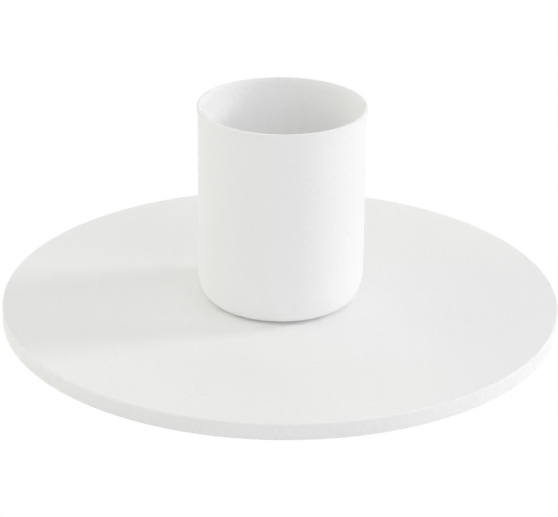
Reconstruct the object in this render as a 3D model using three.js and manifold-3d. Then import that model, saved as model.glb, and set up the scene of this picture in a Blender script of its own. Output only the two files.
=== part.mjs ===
// Taper candle holder: a coated steel cup, screwed to a round plate that stands on felt feet.
// Millimetres, +Z up, with the origin on the table under the middle of the plate.

import * as THREE from 'three';
import { mergeVertices } from 'three/addons/utils/BufferGeometryUtils.js';
import Module from 'manifold-3d';

const wasm = await Module();
wasm.setup();

// Felt feet, stuck under the plate on a circle
const FOOT_COUNT = 4;
const FOOT_DIAMETER = 10;
const FOOT_THICKNESS = 1;
const FOOT_EDGE = 0.2;
const FOOT_INSET = 12; // from the plate's rim to the middle of a foot

// Base plate
const PLATE_DIAMETER = 80;
const PLATE_THICKNESS = 2.4;
const PLATE_EDGE = 0.25;

// Drawn cup, sized by the candle that stands in it
const CANDLE_DIAMETER = 22;
const CANDLE_CLEARANCE = 0.35;
const CUP_WALL = 0.5;
const CUP_HEIGHT = 29.1;
const CUP_FOOT_INSET = 1.8;
const CUP_FOOT_RISE = 4.2;
const CUP_SEAT_MARGIN = 3; // of the flat seat under the washer, around the washer
const CUP_SEAT_STEP = 0.5; // how far the seat is pressed down, which lifts the foot off the plate
const CUP_SEAT_SLOPE = 0.6; // the width of that step
const CUP_RIM_EDGE = 0.2;

// Countersunk screw from below, with a cross recess in its head
const SCREW_DIAMETER = 3;
const SCREW_HEAD_OVERHANG = 1.3;
const SCREW_HEAD_LAND = 0.3;
const SCREW_HEAD_RECESS = 0.1;
const SCREW_PROJECTION = 0.2; // past the nut
const SCREW_END_CHAMFER = 0.4;
const SCREW_HOLE_CLEARANCE = 0.3;
const DRIVE_SPAN = 2.6;
const DRIVE_WIDTH = 0.75;
const DRIVE_DEPTH = 0.9;

// Washer and nut on the cup's floor
const THREAD_CLEARANCE = 0.1;
const WASHER_WIDTH = 1.9; // of the ring, from its hole to its rim
const WASHER_THICKNESS = 0.5;
const NUT_WALL = 1.15; // from the bore to a flat
const NUT_HEIGHT = 2.4;
const NUT_FACE_INSET = 0.1; // from a flat to the round end face
const NUT_CHAMFER_ANGLE = Math.PI / 6;
const NUT_BORE_CHAMFER = 0.2;

// Facets
const PLATE_SIDES = 96;
const CUP_SIDES = 72;
const FOOT_SIDES = 40;
const SCREW_SIDES = 32;
const EDGE_STEPS = 2;
const CUP_STEPS = 3;
const CUT_MARGIN = 0.2; // how far a cutting shape reaches past what it cuts

// Heights of the stack, from the table up
const PLATE_UNDERSIDE = FOOT_THICKNESS;
const PLATE_TOP = PLATE_UNDERSIDE + PLATE_THICKNESS;
const CUP_FLOOR = PLATE_TOP + CUP_WALL;
const CUP_FOOT = PLATE_TOP + CUP_SEAT_STEP;
const CUP_RIM = PLATE_TOP + CUP_HEIGHT;
const WASHER_TOP = CUP_FLOOR + WASHER_THICKNESS;
const NUT_TOP = WASHER_TOP + NUT_HEIGHT;
const SCREW_FACE = PLATE_UNDERSIDE + SCREW_HEAD_RECESS;
const SCREW_END = NUT_TOP + SCREW_PROJECTION;

// Radii that several pieces share
const PLATE_RADIUS = PLATE_DIAMETER / 2;
const CUP_BORE_RADIUS = CANDLE_DIAMETER / 2 + CANDLE_CLEARANCE;
const CUP_RADIUS = CUP_BORE_RADIUS + CUP_WALL;
const SCREW_RADIUS = SCREW_DIAMETER / 2;
const THREADED_BORE = SCREW_RADIUS + THREAD_CLEARANCE;
const WASHER_RADIUS = THREADED_BORE + WASHER_WIDTH;

const QUARTER = Math.PI / 2;

// A closed solid from a geometry, with its shared corners merged
function solid(geometry) {
  geometry.deleteAttribute('normal');
  geometry.deleteAttribute('uv');
  const merged = mergeVertices(geometry);
  return new wasm.Manifold(new wasm.Mesh({
    numProp: 3,
    vertProperties: merged.attributes.position.array,
    triVerts: Uint32Array.from(merged.index.array),
  }));
}

// A round solid, from an outline of radius and height turned about Z
function turned(outline, sides, arcSteps = 1) {
  const points = outline.getPoints(arcSteps);
  return solid(new THREE.LatheGeometry(points, sides).rotateX(QUARTER));
}

function basePlate() {
  const edgeCentre = PLATE_RADIUS - PLATE_EDGE;
  const outline = new THREE.Path()
    .moveTo(0, PLATE_UNDERSIDE)
    .lineTo(edgeCentre, PLATE_UNDERSIDE)
    .absarc(edgeCentre, PLATE_UNDERSIDE + PLATE_EDGE, PLATE_EDGE, -QUARTER, 0)
    .absarc(edgeCentre, PLATE_TOP - PLATE_EDGE, PLATE_EDGE, 0, QUARTER)
    .lineTo(0, PLATE_TOP);
  return turned(outline, PLATE_SIDES, EDGE_STEPS).subtract(screwHole());
}

// One wall all round, pressed down to a flat seat in the middle.
// The inner curve of the foot has the centre of the outer one.
function candleCup() {
  const seat = WASHER_RADIUS + CUP_SEAT_MARGIN;
  const seatStep = seat + CUP_SEAT_SLOPE;
  const footCentre = CUP_RADIUS - CUP_FOOT_INSET;
  const footTop = CUP_FOOT + CUP_FOOT_RISE;
  const rimEdge = Math.min(CUP_RIM_EDGE, 0.45 * CUP_WALL);
  const rimCentre = CUP_RIM - rimEdge;
  const innerInset = CUP_FOOT_INSET - CUP_WALL;
  const innerRise = CUP_FOOT_RISE - CUP_WALL;
  const outline = new THREE.Path()
    .moveTo(0, PLATE_TOP)
    .lineTo(seat, PLATE_TOP)
    .lineTo(seatStep, CUP_FOOT)
    .lineTo(footCentre, CUP_FOOT)
    .absellipse(footCentre, footTop, CUP_FOOT_INSET, CUP_FOOT_RISE, -QUARTER, 0)
    .absarc(CUP_RADIUS - rimEdge, rimCentre, rimEdge, 0, QUARTER)
    .absarc(CUP_BORE_RADIUS + rimEdge, rimCentre, rimEdge, QUARTER, 2 * QUARTER)
    .absellipse(footCentre, footTop, innerInset, innerRise, 0, -QUARTER, true)
    .lineTo(seatStep, CUP_FOOT + CUP_WALL)
    .lineTo(seat, CUP_FLOOR)
    .lineTo(0, CUP_FLOOR);
  return turned(outline, CUP_SIDES, CUP_STEPS).subtract(screwHole());
}

// The screw's outline, grown by a clearance, from a face below its head to its end
function screwOutline(clearance, face) {
  const shank = SCREW_RADIUS + clearance;
  const head = shank + SCREW_HEAD_OVERHANG;
  const landTop = SCREW_FACE + SCREW_HEAD_LAND;
  return new THREE.Path()
    .moveTo(0, face)
    .lineTo(head, face)
    .lineTo(head, landTop)
    .lineTo(shank, landTop + SCREW_HEAD_OVERHANG)
    .lineTo(shank, SCREW_END - SCREW_END_CHAMFER)
    .lineTo(shank - SCREW_END_CHAMFER, SCREW_END)
    .lineTo(0, SCREW_END);
}

function screwHole() {
  return turned(screwOutline(SCREW_HOLE_CLEARANCE, PLATE_UNDERSIDE - CUT_MARGIN), SCREW_SIDES);
}

function fixingScrew() {
  const slotHeight = 2 * DRIVE_DEPTH;
  const slot = new THREE.BoxGeometry(DRIVE_SPAN, DRIVE_WIDTH, slotHeight).translate(0, 0, SCREW_FACE);
  const recess = solid(slot.clone()).add(solid(slot.rotateZ(QUARTER)));
  return turned(screwOutline(0, SCREW_FACE), SCREW_SIDES).subtract(recess);
}

function washer() {
  const outline = new THREE.Path()
    .moveTo(THREADED_BORE, CUP_FLOOR)
    .lineTo(WASHER_RADIUS, CUP_FLOOR)
    .lineTo(WASHER_RADIUS, WASHER_TOP)
    .lineTo(THREADED_BORE, WASHER_TOP)
    .closePath();
  return turned(outline, SCREW_SIDES);
}

// A turned blank with chamfered ends and bore, cut to six flats
function hexNut() {
  const flat = THREADED_BORE + NUT_WALL;
  const corner = flat / Math.cos(Math.PI / 6);
  const face = flat - NUT_FACE_INSET;
  const reach = corner + CUT_MARGIN;
  const drop = (reach - face) * Math.tan(NUT_CHAMFER_ANGLE);
  const mouth = THREADED_BORE + NUT_BORE_CHAMFER;
  const outline = new THREE.Path()
    .moveTo(mouth, WASHER_TOP)
    .lineTo(face, WASHER_TOP)
    .lineTo(reach, WASHER_TOP + drop)
    .lineTo(reach, NUT_TOP - drop)
    .lineTo(face, NUT_TOP)
    .lineTo(mouth, NUT_TOP)
    .lineTo(THREADED_BORE, NUT_TOP - NUT_BORE_CHAMFER)
    .lineTo(THREADED_BORE, WASHER_TOP + NUT_BORE_CHAMFER)
    .closePath();
  const bar = new THREE.CylinderGeometry(corner, corner, NUT_HEIGHT + 2 * CUT_MARGIN, 6)
    .rotateX(QUARTER)
    .translate(0, 0, WASHER_TOP + NUT_HEIGHT / 2);
  return turned(outline, SCREW_SIDES).intersect(solid(bar));
}

// A cut felt dot, with its edge rubbed round where it stands on the table
function feltFoot() {
  const radius = FOOT_DIAMETER / 2;
  const outline = new THREE.Path()
    .moveTo(0, 0)
    .lineTo(radius - FOOT_EDGE, 0)
    .absarc(radius - FOOT_EDGE, FOOT_EDGE, FOOT_EDGE, -QUARTER, 0)
    .lineTo(radius, FOOT_THICKNESS)
    .lineTo(0, FOOT_THICKNESS);
  return turned(outline, FOOT_SIDES, EDGE_STEPS);
}

const whiteCoat = { color: 0xf6f6f5, roughness: 0.55, metalness: 0 };
const zincPlate = { color: 0xb9bcc0, roughness: 0.35, metalness: 1 };
const greyFelt = { color: 0xb4b2ac, roughness: 0.95, metalness: 0 };

function piece(name, body, finish) {
  const { vertProperties, triVerts } = body.getMesh();
  const geometry = new THREE.BufferGeometry();
  geometry.setAttribute('position', new THREE.BufferAttribute(vertProperties, 3));
  geometry.setIndex(new THREE.BufferAttribute(triVerts, 1));
  geometry.computeVertexNormals();
  const mesh = new THREE.Mesh(geometry, new THREE.MeshStandardMaterial(finish));
  mesh.name = name;
  return mesh;
}

const holder = new THREE.Group();
holder.name = 'taper_candle_holder';
holder.add(piece('base_plate', basePlate(), whiteCoat));
holder.add(piece('candle_cup', candleCup(), whiteCoat));
holder.add(piece('fixing_screw', fixingScrew(), zincPlate));
holder.add(piece('washer', washer(), zincPlate));
holder.add(piece('hex_nut', hexNut(), zincPlate));
for (let i = 0; i < FOOT_COUNT; i += 1) {
  const angle = ((2 * i + 1) * Math.PI) / FOOT_COUNT;
  const circle = PLATE_RADIUS - FOOT_INSET;
  const foot = piece(`felt_foot_${i + 1}`, feltFoot(), greyFelt);
  foot.position.set(circle * Math.cos(angle), circle * Math.sin(angle), 0);
  holder.add(foot);
}

export default holder;
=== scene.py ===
import math

import bpy
from mathutils import Matrix, Vector


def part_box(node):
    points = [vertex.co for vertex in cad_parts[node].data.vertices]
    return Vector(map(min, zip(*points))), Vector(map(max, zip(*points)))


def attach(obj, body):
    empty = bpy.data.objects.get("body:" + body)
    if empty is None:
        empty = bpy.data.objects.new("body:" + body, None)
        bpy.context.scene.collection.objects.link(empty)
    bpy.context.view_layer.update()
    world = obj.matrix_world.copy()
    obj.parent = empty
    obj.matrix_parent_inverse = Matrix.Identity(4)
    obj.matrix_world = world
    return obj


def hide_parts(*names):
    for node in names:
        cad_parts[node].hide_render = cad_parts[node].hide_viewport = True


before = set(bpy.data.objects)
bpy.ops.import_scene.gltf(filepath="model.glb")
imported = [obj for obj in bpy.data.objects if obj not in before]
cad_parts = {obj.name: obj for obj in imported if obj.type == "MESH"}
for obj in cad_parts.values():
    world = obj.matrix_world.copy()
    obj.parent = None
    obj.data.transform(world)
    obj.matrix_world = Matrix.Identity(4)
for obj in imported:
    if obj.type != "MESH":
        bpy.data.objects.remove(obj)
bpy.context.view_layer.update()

# A white powder-coated taper candle holder: a thin cup screwed to a round plate on felt feet.
# Metres, +Z up, with the origin on the table under the middle of the plate.

MM = 0.001

# Sizes read from the frame
PLATE_LOW, PLATE_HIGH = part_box("base_plate")
CUP_LOW, CUP_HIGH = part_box("candle_cup")
SCREW_LOW, SCREW_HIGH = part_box("fixing_screw")
WASHER_LOW, WASHER_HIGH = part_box("washer")
NUT_LOW, NUT_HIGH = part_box("hex_nut")
FELT_FEET = 4
FELT_BOXES = [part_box(f"felt_foot_{i + 1}") for i in range(FELT_FEET)]

# Sizes of the finish, which the frame's boxes don't hold
PLATE_EDGE = 0.25 * MM
CUP_WALL = 0.5 * MM
CUP_FOOT_INSET = 1.8 * MM
CUP_FOOT_RISE = 4.2 * MM
CUP_SEAT_MARGIN = 3 * MM
CUP_SEAT_SLOPE = 0.6 * MM
CUP_SEAT_STEP = 0.5 * MM
RIM_FLARE = 0.14 * MM
RIM_FLARE_DEPTH = 3 * MM
RIM_MOUTH = 0.2 * MM
RIM_MOUTH_DEPTH = 1.2 * MM
RIM_OUTER_EDGE = 0.16 * MM
RIM_INNER_EDGE = 0.06 * MM
SCREW_RADIUS = 1.5 * MM
SCREW_LAND = 0.3 * MM
SCREW_CHAMFER = 0.4 * MM
HOLE_CLEARANCE = 0.3 * MM
THREAD_PITCH = 0.5 * MM
THREAD_DEPTH = 0.27 * MM
THREAD_CLEARANCE = 0.1 * MM
DRIVE_SPAN = 2.6 * MM
DRIVE_WIDTH = 0.75 * MM
DRIVE_DEPTH = 0.9 * MM
DRIVE_TAPER = 0.62
NUT_FACE_INSET = 0.1 * MM
NUT_BORE_CHAMFER = 0.2 * MM
WASHER_EDGE = 0.1 * MM
FELT_EDGE = 0.2 * MM

# Facets round the pieces, and along the arcs of their outlines
PLATE_SIDES = 288
CUP_SIDES = 192
FASTENER_SIDES = 64
FELT_SIDES = 72
PLATE_EDGE_STEPS = 8
FOOT_STEPS = 20
INNER_FOOT_STEPS = 16
FLARE_STEPS = 8
RIM_STEPS = 6
SMALL_EDGE_STEPS = 4
THREAD_RINGS = 8
FELT_RINGS = 12
SMOOTH_ANGLE = 40
FELT_SMOOTH_ANGLE = 60
WELD = 2e-6

QUARTER = math.pi / 2
SIXTH = math.pi / 3

# Finishes: the sizes of their grain, how far it stands out, their roughness and their colours
COAT_GRAIN = 0.3 * MM
COAT_PEEL = 1.1 * MM
COAT_CLOUD = 14 * MM
COAT_RELIEF = 0.07 * MM
COAT_GRAIN_RELIEF_SHARE = 0.6
COAT_ROUGHNESS = 0.46
COAT_ROUGHNESS_SPREAD = 0.16
COAT_IOR = 1.5
COAT_GREYER = (0.905, 0.905, 0.901, 1)
COAT_WHITER = (0.945, 0.945, 0.942, 1)
ZINC_CLOUD = 0.9 * MM
ZINC_MARKS = 0.25 * MM
ZINC_MARKS_STRETCH = (1, 1, 9)
ZINC_RELIEF = 0.004 * MM
ZINC_ROUGHNESS = 0.26
ZINC_ROUGHNESS_SPREAD = 0.22
ZINC_BLUE = (0.56, 0.57, 0.6, 1)
ZINC_STRAW = (0.68, 0.67, 0.64, 1)
FELT_FIBRE = 0.35 * MM
FELT_LENGTHWISE = (1, 6, 1)
FELT_CROSSWISE = (6, 1, 2)
FELT_CURL = 1.5 * MM
FELT_CURL_SHARE = 0.0012
FELT_TUFT = 1.4 * MM
FELT_TUFT_SHARE = 0.25
FELT_RELIEF = 0.08 * MM
FELT_ROUGHNESS = 0.88
FELT_ROUGHNESS_SPREAD = 0.1
FELT_SHEEN = 0.25
FELT_TONES = [(0.3, (0.3, 0.295, 0.28, 1)), (0.52, (0.46, 0.45, 0.43, 1)), (0.7, (0.6, 0.59, 0.57, 1))]
WHITE = (1, 1, 1, 1)


class Wire:
    """A socket of a node tree. Arithmetic on it adds Math nodes."""

    def __init__(self, tree, socket=None):
        self.tree = tree
        self.socket = socket

    def node(self, kind, settings=None, inputs=None, output=0):
        """A new node: its settings first, then the values or wires of its sockets."""
        made = self.tree.nodes.new(kind)
        for name, value in (settings or {}).items():
            if name == "stops":
                set_stops(made.color_ramp, value)
            else:
                setattr(made, name, value)
        for name, value in (inputs or {}).items():
            if isinstance(value, Wire):
                self.tree.links.new(value.socket, made.inputs[name])
            else:
                made.inputs[name].default_value = value
        return Wire(self.tree, made.outputs[output] if made.outputs else None)

    def math(self, operation, first, second):
        return self.node("ShaderNodeMath", {"operation": operation}, {0: first, 1: second})

    def __add__(self, other):
        return self.math("ADD", self, other)

    def __radd__(self, other):
        return self.math("ADD", other, self)

    def __mul__(self, other):
        return self.math("MULTIPLY", self, other)

    def __rmul__(self, other):
        return self.math("MULTIPLY", other, self)


def set_stops(ramp, stops):
    """A ramp's stops, each a position and a colour."""
    while len(ramp.elements) < len(stops):
        ramp.elements.new(1.0)
    for element, (position, colour) in zip(ramp.elements, stops):
        element.position = position
        element.color = colour


def new_material(name):
    material = bpy.data.materials.new(name)
    material.use_nodes = True
    material.node_tree.nodes.clear()
    return material, Wire(material.node_tree)


def noise(start, place, size, output=0):
    """Noise with features of about that size, from 0 to 1."""
    return start.node("ShaderNodeTexNoise", inputs={"Vector": place, "Scale": 1 / size}, output=output)


def bump(start, height, relief):
    """A normal for a relief of that height over the surface."""
    inputs = {"Strength": 1.0, "Distance": relief, "Height": height}
    return start.node("ShaderNodeBump", inputs=inputs)


def stretch(start, place, scale):
    return start.node("ShaderNodeMapping", inputs={"Vector": place, "Scale": scale})


def mix_colours(start, factor, first, second):
    """A Mix node. Its sockets are numbered, because names such as A stand for one of each type."""
    inputs = {0: factor, 6: first, 7: second}
    return start.node("ShaderNodeMix", {"data_type": "RGBA"}, inputs, output=2)


def powder_coat():
    """Matt white powder coat: a fine pebbled grain over a slow orange peel."""
    material, start = new_material("white_powder_coat")
    place = start.node("ShaderNodeTexCoord", output="Object")
    grain = noise(start, place, COAT_GRAIN)
    peel = noise(start, place, COAT_PEEL)
    cloud = noise(start, place, COAT_CLOUD)
    shade = cloud * 0.5 + grain * 0.5
    colour = mix_colours(start, shade, COAT_GREYER, COAT_WHITER)
    normal = bump(start, grain * COAT_GRAIN_RELIEF_SHARE + peel, COAT_RELIEF)
    coat = start.node("ShaderNodeBsdfPrincipled", inputs={
        "Base Color": colour,
        "Roughness": COAT_ROUGHNESS + COAT_ROUGHNESS_SPREAD * peel,
        "IOR": COAT_IOR,
        "Normal": normal,
    })
    start.node("ShaderNodeOutputMaterial", inputs={"Surface": coat})
    return material


def zinc_plate():
    """Bright zinc on small fasteners, with faint turned marks and a cloudy passivation."""
    material, start = new_material("bright_zinc")
    place = start.node("ShaderNodeTexCoord", output="Object")
    cloud = noise(start, place, ZINC_CLOUD)
    marks = noise(start, stretch(start, place, ZINC_MARKS_STRETCH), ZINC_MARKS)
    colour = mix_colours(start, cloud, ZINC_BLUE, ZINC_STRAW)
    normal = bump(start, marks, ZINC_RELIEF)
    metal = start.node("ShaderNodeBsdfPrincipled", inputs={
        "Base Color": colour,
        "Metallic": 1.0,
        "Roughness": ZINC_ROUGHNESS + ZINC_ROUGHNESS_SPREAD * cloud,
        "Normal": normal,
    })
    start.node("ShaderNodeOutputMaterial", inputs={"Surface": metal})
    return material


def grey_felt():
    """Pressed light grey felt: matted fibres of mixed tone."""
    material, start = new_material("grey_felt")
    place = start.node("ShaderNodeTexCoord", output="Object")
    curled = mix_colours(start, FELT_CURL_SHARE, place, noise(start, place, FELT_CURL, "Color"))
    along = noise(start, stretch(start, curled, FELT_LENGTHWISE), FELT_FIBRE)
    across = noise(start, stretch(start, curled, FELT_CROSSWISE), FELT_FIBRE)
    fibres = (along + across) * 0.5
    tuft = noise(start, place, FELT_TUFT)
    tone = fibres * (1 - FELT_TUFT_SHARE) + tuft * FELT_TUFT_SHARE
    colour = start.node("ShaderNodeValToRGB", {"stops": FELT_TONES}, {0: tone})
    normal = bump(start, fibres, FELT_RELIEF)
    felt = start.node("ShaderNodeBsdfPrincipled", inputs={
        "Base Color": colour,
        "Roughness": FELT_ROUGHNESS + FELT_ROUGHNESS_SPREAD * tuft,
        "Sheen Weight": FELT_SHEEN,
        "Normal": normal,
    })
    start.node("ShaderNodeOutputMaterial", inputs={"Surface": felt})
    return material


def arc(centre, across, up, first, last, steps):
    """Points of an ellipse's arc, each a radius and a height."""
    angles = [first + (last - first) * i / steps for i in range(steps + 1)]
    return [(centre[0] + across * math.cos(a), centre[1] + up * math.sin(a)) for a in angles]


def spin_outline(name, outline, sides):
    """A round piece: a corner is extruded from point to point, and the line is spun about Z."""
    bpy.ops.object.select_all(action="DESELECT")
    radius, height = outline[0]
    bpy.ops.mesh.primitive_plane_add(size=MM, location=(radius, 0, height))
    piece = bpy.context.object
    piece.name = name
    bpy.ops.object.transform_apply(location=True)
    bpy.ops.object.mode_set(mode="EDIT")
    bpy.ops.mesh.merge(type="CENTER")
    for (r0, z0), (r1, z1) in zip(outline, outline[1:]):
        step = (r1 - r0, 0, z1 - z0)
        bpy.ops.mesh.extrude_vertices_move(TRANSFORM_OT_translate={"value": step})
    bpy.ops.mesh.select_all(action="SELECT")
    bpy.ops.mesh.spin(steps=sides, angle=2 * math.pi, center=(0, 0, 0), axis=(0, 0, 1))
    weld()
    return piece


def weld():
    """Merges what meets in the piece being edited, turns its faces outwards and leaves edit mode."""
    bpy.ops.mesh.select_all(action="SELECT")
    bpy.ops.mesh.remove_doubles(threshold=WELD)
    bpy.ops.mesh.normals_make_consistent(inside=False)
    bpy.ops.object.mode_set(mode="OBJECT")


def pick(piece):
    bpy.ops.object.select_all(action="DESELECT")
    piece.select_set(True)
    bpy.context.view_layer.objects.active = piece


def smooth(piece, angle=SMOOTH_ANGLE):
    """Smooth shading up to an angle, with the large faces kept flat."""
    pick(piece)
    bpy.ops.object.shade_smooth_by_angle(angle=math.radians(angle))
    modifier = piece.modifiers.new("flats", "WEIGHTED_NORMAL")
    modifier.keep_sharp = True
    bpy.ops.object.modifier_apply(modifier=modifier.name)


def dress(piece, material, node):
    """Gives a finished piece its material, and puts it on the body in place of its CAD node."""
    piece.data.materials.clear()
    piece.data.materials.append(material)
    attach(piece, "root")
    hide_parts(node)


def coated_plate():
    rim = PLATE_HIGH.x - PLATE_EDGE
    hole = SCREW_RADIUS + HOLE_CLEARANCE
    sink = SCREW_HIGH.x + HOLE_CLEARANCE
    land = SCREW_LOW.z + SCREW_LAND
    outline = [(hole, PLATE_HIGH.z)]
    outline += arc((rim, PLATE_HIGH.z - PLATE_EDGE), PLATE_EDGE, PLATE_EDGE, QUARTER, 0, PLATE_EDGE_STEPS)
    outline += arc((rim, PLATE_LOW.z + PLATE_EDGE), PLATE_EDGE, PLATE_EDGE, 0, -QUARTER, PLATE_EDGE_STEPS)
    outline += [(sink, PLATE_LOW.z), (sink, land), (hole, land + sink - hole), (hole, PLATE_HIGH.z)]
    plate = spin_outline("plate", outline, PLATE_SIDES)
    smooth(plate)
    return plate


def flared_wall(wall, lean, depth):
    """Points up a face of the cup's wall, which leans outwards more and more towards the rim."""
    shares = [i / FLARE_STEPS for i in range(FLARE_STEPS)]
    return [(wall + lean * s * s, CUP_HIGH.z + depth * (s - 1)) for s in shares]


def drawn_cup():
    """A thin cup, pressed down to a flat seat in the middle, with a rim that leans out a little."""
    radius = CUP_HIGH.x
    bore = radius - CUP_WALL
    seat = CUP_LOW.z
    floor = seat + CUP_SEAT_STEP
    foot = (radius - CUP_FOOT_INSET, floor + CUP_FOOT_RISE)
    pressed = WASHER_HIGH.x + CUP_SEAT_MARGIN
    level = pressed + CUP_SEAT_SLOPE
    hole = SCREW_RADIUS + HOLE_CLEARANCE
    outline = [(hole, seat), (pressed, seat), (level, floor)]
    outline += arc(foot, CUP_FOOT_INSET, CUP_FOOT_RISE, -QUARTER, 0, FOOT_STEPS)
    outline += flared_wall(radius, RIM_FLARE, RIM_FLARE_DEPTH)
    outer = (radius + RIM_FLARE - RIM_OUTER_EDGE, CUP_HIGH.z - RIM_OUTER_EDGE)
    outline += arc(outer, RIM_OUTER_EDGE, RIM_OUTER_EDGE, 0, QUARTER, RIM_STEPS)
    inner = (bore + RIM_MOUTH + RIM_INNER_EDGE, CUP_HIGH.z - RIM_INNER_EDGE)
    outline += arc(inner, RIM_INNER_EDGE, RIM_INNER_EDGE, QUARTER, 2 * QUARTER, RIM_STEPS)
    outline += reversed(flared_wall(bore, RIM_MOUTH, RIM_MOUTH_DEPTH))
    inset, rise = CUP_FOOT_INSET - CUP_WALL, CUP_FOOT_RISE - CUP_WALL
    outline += arc(foot, inset, rise, 0, -QUARTER, INNER_FOOT_STEPS)
    outline += [(level, floor + CUP_WALL), (pressed, seat + CUP_WALL)]
    outline += [(hole, seat + CUP_WALL), (hole, seat)]
    cup = spin_outline("cup", outline, CUP_SIDES)
    smooth(cup)
    return cup


def cut_thread(piece, wall, low, high):
    """Draws a round wall inwards along a helix: that is a groove on a screw and a ridge in a bore."""
    for corner in piece.data.vertices:
        x, y, z = corner.co
        radius = math.hypot(x, y)
        if abs(radius - wall) < WELD and low < z < high:
            turn = (z / THREAD_PITCH - math.atan2(y, x) / (2 * math.pi)) % 1
            depth = THREAD_DEPTH * (1 - abs(2 * turn - 1))
            corner.co.x = x * (radius - depth) / radius
            corner.co.y = y * (radius - depth) / radius


def thread_levels(low, high):
    """Heights for the rings of a threaded wall, several to a turn."""
    count = math.ceil((high - low) / (THREAD_PITCH / THREAD_RINGS))
    return [low + (high - low) * i / count for i in range(count + 1)]


def countersunk_screw():
    head = SCREW_HIGH.x
    land = SCREW_LOW.z + SCREW_LAND
    neck = land + head - SCREW_RADIUS
    tip = SCREW_HIGH.z - SCREW_CHAMFER
    outline = [(0, SCREW_LOW.z), (head, SCREW_LOW.z), (head, land)]
    outline += [(SCREW_RADIUS, z) for z in thread_levels(neck, tip)]
    outline += [(SCREW_RADIUS - SCREW_CHAMFER, SCREW_HIGH.z), (0, SCREW_HIGH.z)]
    screw = spin_outline("screw", outline, FASTENER_SIDES)
    cut_thread(screw, SCREW_RADIUS, neck + THREAD_PITCH / 2, tip - WELD)
    cut_drive(screw)
    smooth(screw)
    return screw


def cut_drive(screw):
    """Cuts the tapered cross recess into the screw's head."""
    for turn in (0, QUARTER):
        bpy.ops.object.select_all(action="DESELECT")
        bpy.ops.mesh.primitive_cube_add(size=1, location=(0, 0, SCREW_LOW.z))
        blade = bpy.context.object
        blade.scale = (DRIVE_SPAN, DRIVE_WIDTH, 2 * DRIVE_DEPTH)
        blade.rotation_euler.z = turn
        bpy.ops.object.transform_apply(location=True, rotation=True, scale=True)
        for corner in blade.data.vertices:
            if corner.co.z > SCREW_LOW.z:
                corner.co.x *= DRIVE_TAPER
                corner.co.y *= DRIVE_TAPER
        pick(screw)
        modifier = screw.modifiers.new("drive", "BOOLEAN")
        modifier.object = blade
        modifier.operation = "DIFFERENCE"
        bpy.ops.object.modifier_apply(modifier=modifier.name)
        bpy.data.objects.remove(blade)


def stamped_washer():
    bore = SCREW_RADIUS + THREAD_CLEARANCE
    rim = WASHER_HIGH.x
    rounded = (rim - WASHER_EDGE, WASHER_HIGH.z - WASHER_EDGE)
    outline = [(bore, WASHER_LOW.z), (rim, WASHER_LOW.z)]
    outline += arc(rounded, WASHER_EDGE, WASHER_EDGE, 0, QUARTER, SMALL_EDGE_STEPS)
    rolled = (bore + WASHER_EDGE, WASHER_HIGH.z - WASHER_EDGE)
    outline += arc(rolled, WASHER_EDGE, WASHER_EDGE, QUARTER, 2 * QUARTER, SMALL_EDGE_STEPS)
    outline += [(bore, WASHER_LOW.z)]
    washer = spin_outline("washer_ring", outline, FASTENER_SIDES)
    smooth(washer)
    return washer


def hex_nut():
    """A turned blank with a threaded bore, cut to six flats."""
    flat = NUT_HIGH.x
    blank = flat / math.cos(SIXTH / 2) + NUT_FACE_INSET
    bore = SCREW_RADIUS + THREAD_CLEARANCE
    mouth = bore + NUT_BORE_CHAMFER
    face = flat - NUT_FACE_INSET
    drop = (blank - face) * math.tan(SIXTH / 2)
    low, high = NUT_LOW.z + NUT_BORE_CHAMFER, NUT_HIGH.z - NUT_BORE_CHAMFER
    outline = [(mouth, NUT_LOW.z), (face, NUT_LOW.z), (blank, NUT_LOW.z + drop)]
    outline += [(blank, NUT_HIGH.z - drop), (face, NUT_HIGH.z), (mouth, NUT_HIGH.z)]
    outline += [(bore, z) for z in reversed(thread_levels(low, high))]
    outline += [(mouth, NUT_LOW.z)]
    nut = spin_outline("nut", outline, FASTENER_SIDES)
    cut_thread(nut, bore, low + WELD, high - WELD)
    pick(nut)
    bpy.ops.object.mode_set(mode="EDIT")
    for side in range(6):
        outwards = Vector((math.cos(side * SIXTH), math.sin(side * SIXTH), 0))
        bpy.ops.mesh.select_all(action="SELECT")
        cut = {"plane_co": outwards * flat, "plane_no": outwards}
        bpy.ops.mesh.bisect(**cut, use_fill=True, clear_outer=True)
    weld()
    smooth(nut)
    return nut


def felt_dot():
    """A punched felt dot under the middle of the plate, with its lower edge rubbed round."""
    low, high = FELT_BOXES[0]
    radius = (high.x - low.x) / 2
    rings = [radius * i / FELT_RINGS for i in range(FELT_RINGS)]
    outline = [(r, high.z) for r in rings]
    outline += [(radius, high.z), (radius, (low.z + high.z) / 2)]
    rubbed = (radius - FELT_EDGE, low.z + FELT_EDGE)
    outline += arc(rubbed, FELT_EDGE, FELT_EDGE, 0, -QUARTER, SMALL_EDGE_STEPS)
    outline += [(r, low.z) for r in reversed(rings[:-1])]
    dot = spin_outline("felt_dot", outline, FELT_SIDES)
    smooth(dot, FELT_SMOOTH_ANGLE)
    return dot


def copy_dot(dot, name, box):
    """A copy of the felt dot with its own mesh, moved to the middle of a foot's box."""
    centre = (box[0] + box[1]) / 2
    pick(dot)
    bpy.ops.object.duplicate(linked=False)
    foot = bpy.context.object
    foot.name = name
    foot.location = (centre.x, centre.y, 0)
    bpy.ops.object.transform_apply(location=True)
    return foot


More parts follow.
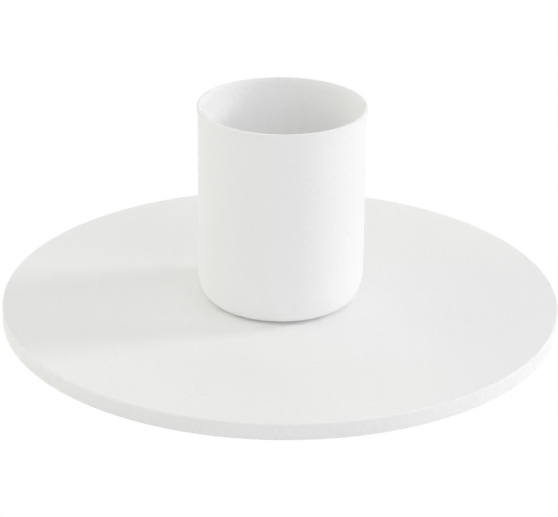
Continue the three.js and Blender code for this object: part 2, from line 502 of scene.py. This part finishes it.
def build_holder():
    coat = powder_coat()
    zinc = zinc_plate()
    felt = grey_felt()
    dress(coated_plate(), coat, "base_plate")
    dress(drawn_cup(), coat, "candle_cup")
    dress(countersunk_screw(), zinc, "fixing_screw")
    dress(stamped_washer(), zinc, "washer")
    dress(hex_nut(), zinc, "hex_nut")
    dot = felt_dot()
    for i, box in enumerate(FELT_BOXES, 1):
        dress(copy_dot(dot, f"felt_dot_{i}", box), felt, f"felt_foot_{i}")
    bpy.data.objects.remove(dot)


# The camera stands in front, looking down at the holder
CAMERA_LENS = 147.30
CAMERA_PLACE = Vector((-0.233 * MM, -300.26 * MM, PLATE_HIGH.z + 138.25 * MM))
CAMERA_PITCH = math.radians(23.824)
CAMERA_ROLL = 0.0116
CAMERA_NEAR = 10 * MM


def place_camera():
    camera = bpy.data.objects.new("camera", bpy.data.cameras.new("camera"))
    camera.data.lens = CAMERA_LENS
    camera.data.clip_start = CAMERA_NEAR
    turn = Matrix.Rotation(QUARTER - CAMERA_PITCH, 4, "X") @ Matrix.Rotation(CAMERA_ROLL, 4, "Z")
    camera.matrix_world = Matrix.Translation(CAMERA_PLACE) @ turn
    bpy.context.scene.collection.objects.link(camera)
    bpy.context.scene.camera = camera


# The studio: a white floor and world, a small key lamp at the right, soft boxes round about and one below
FLOOR_LAP = 1 * MM
FLOOR_OPENING = PLATE_HIGH.x - FLOOR_LAP
FLOOR_RADIUS = 3.0
FLOOR_SIDES = 96
FLOOR_COLOUR = (0.92, 0.92, 0.92, 1)
FLOOR_GLOW = 1.02
FLOOR_GLOW_SHARE = 0.95
FILL_STRENGTH = 0.195
FILL_COLOUR = (0.96, 0.96, 0.965, 1)
DIFFUSE_BOUNCES = 12
LAMP_DISTANCE = 1.0
KEY_SIZE = (0.28, 0.28)
NEUTRAL = (1.0, 1.0, 1.0)
COOL = (0.97, 0.98, 1.0)
WARM = (1.0, 1.0, 0.91)
LAMPS = {
    "key_right": {"azimuth": 12, "elevation": 23, "size": KEY_SIZE, "power": 3.2, "colour": NEUTRAL},
    "box_back": {"azimuth": 70, "elevation": 50, "size": (1.2, 0.5), "power": 1.88, "colour": NEUTRAL},
    "box_back_left": {"azimuth": 165, "elevation": 30, "size": (1.4, 0.6), "power": 4.2, "colour": WARM},
    "box_left": {"azimuth": 200, "elevation": 15, "size": (1.2, 0.3), "power": 1.06, "colour": WARM},
    "box_front": {"azimuth": 250, "elevation": 45, "size": (1.4, 0.6), "power": 2.25, "colour": COOL},
    "box_front_right": {"azimuth": 320, "elevation": 25, "size": (1.0, 0.5), "power": 2.75, "colour": COOL},
    "box_high": {"azimuth": 330, "elevation": 50, "size": (1.0, 0.5), "power": 0.7, "colour": NEUTRAL},
    "box_below": {"azimuth": 0, "elevation": -90, "size": (0.6, 0.5), "power": 5.0, "colour": NEUTRAL},
}


def seen_directly(start):
    """1 for rays from the camera, or by way of a mirror or glass, and 0 for the light on things."""
    camera = start.node("ShaderNodeLightPath", output="Is Camera Ray")
    glossy = start.node("ShaderNodeLightPath", output="Is Glossy Ray")
    through = start.node("ShaderNodeLightPath", output="Is Transmission Ray")
    either = start.math("MAXIMUM", camera, glossy)
    return start.math("MAXIMUM", either, through)


def white_floor():
    """A round floor, clear from below, with an opening under the plate for the lamp below."""
    floor = spin_outline("floor", [(FLOOR_OPENING, 0), (FLOOR_RADIUS, 0)], FLOOR_SIDES)
    if floor.data.polygons[0].normal.z < 0:
        bpy.ops.object.mode_set(mode="EDIT")
        bpy.ops.mesh.select_all(action="SELECT")
        bpy.ops.mesh.flip_normals()
        bpy.ops.object.mode_set(mode="OBJECT")
    material, start = new_material("white_floor")
    lit = start.node("ShaderNodeBsdfDiffuse", inputs={"Color": FLOOR_COLOUR})
    glow = start.node("ShaderNodeEmission", inputs={"Color": WHITE, "Strength": FLOOR_GLOW})
    share = seen_directly(start) * FLOOR_GLOW_SHARE
    white = start.node("ShaderNodeMixShader", inputs={0: share, 1: lit, 2: glow})
    under = start.node("ShaderNodeNewGeometry", output="Backfacing")
    clear = start.node("ShaderNodeBsdfTransparent")
    surface = start.node("ShaderNodeMixShader", inputs={0: under, 1: white, 2: clear})
    start.node("ShaderNodeOutputMaterial", inputs={"Surface": surface})
    floor.data.materials.append(material)


def white_world():
    world = bpy.data.worlds.new("studio")
    world.use_nodes = True
    world.node_tree.nodes.clear()
    start = Wire(world.node_tree)
    fill = start.node("ShaderNodeBackground", inputs={"Color": FILL_COLOUR, "Strength": FILL_STRENGTH})
    backdrop = start.node("ShaderNodeBackground", inputs={"Color": WHITE, "Strength": 1.0})
    surface = start.node("ShaderNodeMixShader", inputs={0: seen_directly(start), 1: fill, 2: backdrop})
    start.node("ShaderNodeOutputWorld", inputs={"Surface": surface})
    bpy.context.scene.world = world


def soft_lamps():
    """Lamps that shine on the holder, in degrees, metres and watts: azimuth 0 is right, 90 the back."""
    for name, lamp in LAMPS.items():
        azimuth, elevation = math.radians(lamp["azimuth"]), math.radians(lamp["elevation"])
        level = math.cos(elevation)
        towards = Vector((level * math.cos(azimuth), level * math.sin(azimuth), math.sin(elevation)))
        light = bpy.data.lights.new(name, "AREA")
        light.shape = "ELLIPSE" if lamp["size"] == KEY_SIZE else "RECTANGLE"
        light.size, light.size_y = lamp["size"]
        light.energy = lamp["power"]
        light.color = lamp["colour"]
        stand = bpy.data.objects.new(name, light)
        stand.location = towards * LAMP_DISTANCE
        stand.rotation_mode = "QUATERNION"
        stand.rotation_quaternion = towards.to_track_quat("Z", "Y")
        stand.visible_camera = False
        bpy.context.scene.collection.objects.link(stand)


build_holder()
place_camera()
white_floor()
white_world()
soft_lamps()
bpy.context.scene.view_settings.view_transform = "Standard"
bpy.context.scene.cycles.diffuse_bounces = DIFFUSE_BOUNCES
